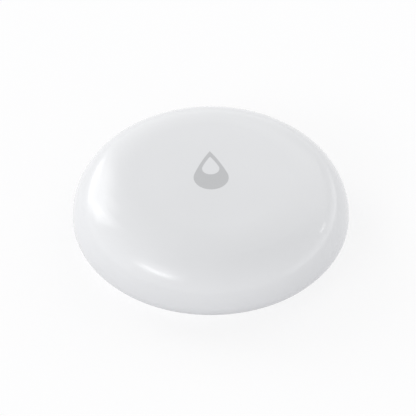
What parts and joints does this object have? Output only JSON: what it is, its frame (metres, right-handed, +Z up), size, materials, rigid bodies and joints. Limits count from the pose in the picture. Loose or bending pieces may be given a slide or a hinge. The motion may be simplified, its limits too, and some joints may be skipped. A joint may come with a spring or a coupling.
{
  "type": "water leak sensor",
  "caption": "Round pebble-shaped water leak sensor with metal floor probes, a coin-slot battery door underneath and a push switch beneath the crown.",
  "frame": {"origin": "on the floor under the centre of the round housing, at the level of the standing pads", "axes": "+Z up through the crown, +Y the way the drop sign's point faces, X through both probes"},
  "size_m": [0.05, 0.05, 0.015],
  "materials": {
    "white_shell": "smooth gloss",
    "white_base": "fine spark-eroded matt",
    "seal_rubber": "matt silicone",
    "cell_steel": "turned steel",
    "holder_plastic": "satin",
    "spring_bronze": "nickel-plated spring bronze",
    "board_laminate": "solder-masked laminate",
    "chip_black": "moulded matt",
    "plated_steel": "bright plated",
    "chip_ceramic": "fired ceramic",
    "copper_track": "copper under mask",
    "lamp_resin": "cast resin",
    "clear_acrylic": "clear polished",
    "probe_steel": "stainless, satin"
  },
  "bodies": {
    "housing": {"top_cover": "white_shell", "base": "white_base", "housing_seal": "seal_rubber", "door_seal": "seal_rubber", "probe_seals": "seal_rubber", "coin_cell": "cell_steel", "battery_holder": "holder_plastic", "positive_contact": "spring_bronze", "negative_contact": "spring_bronze", "probe_contact_left": "spring_bronze", "probe_contact_right": "spring_bronze", "main_board": "board_laminate", "radio_chip": "chip_black", "memory_chip": "chip_black", "switch_case": "chip_black", "crystal": "plated_steel", "switch_frame": "plated_steel", "switch_snap_dome": "plated_steel", "switch_terminals": "plated_steel", "board_screws": "plated_steel", "chip_passives": "chip_ceramic", "aerial": "copper_track", "status_lamp": "lamp_resin", "light_guide": "clear_acrylic", "probe_left": "probe_steel", "probe_right": "probe_steel"},
    "battery_door": {"battery_door": "white_base"},
    "switch_stem": {"switch_stem": "chip_black"}
  },
  "joints": [
    {"name": "door_twist", "type": "hinge", "parent": "housing", "child": "battery_door", "pos_m": [0, 0, 0.0005], "axis": [0, 0, -1], "range_deg": [0, 40]},
    {"name": "switch_press", "type": "slide", "parent": "housing", "child": "switch_stem", "axis": [0, 0, -1], "range_m": [0, 0.00025], "stiffness_N_per_m": 6400, "deforming": ["switch_snap_dome"]}
  ]
}
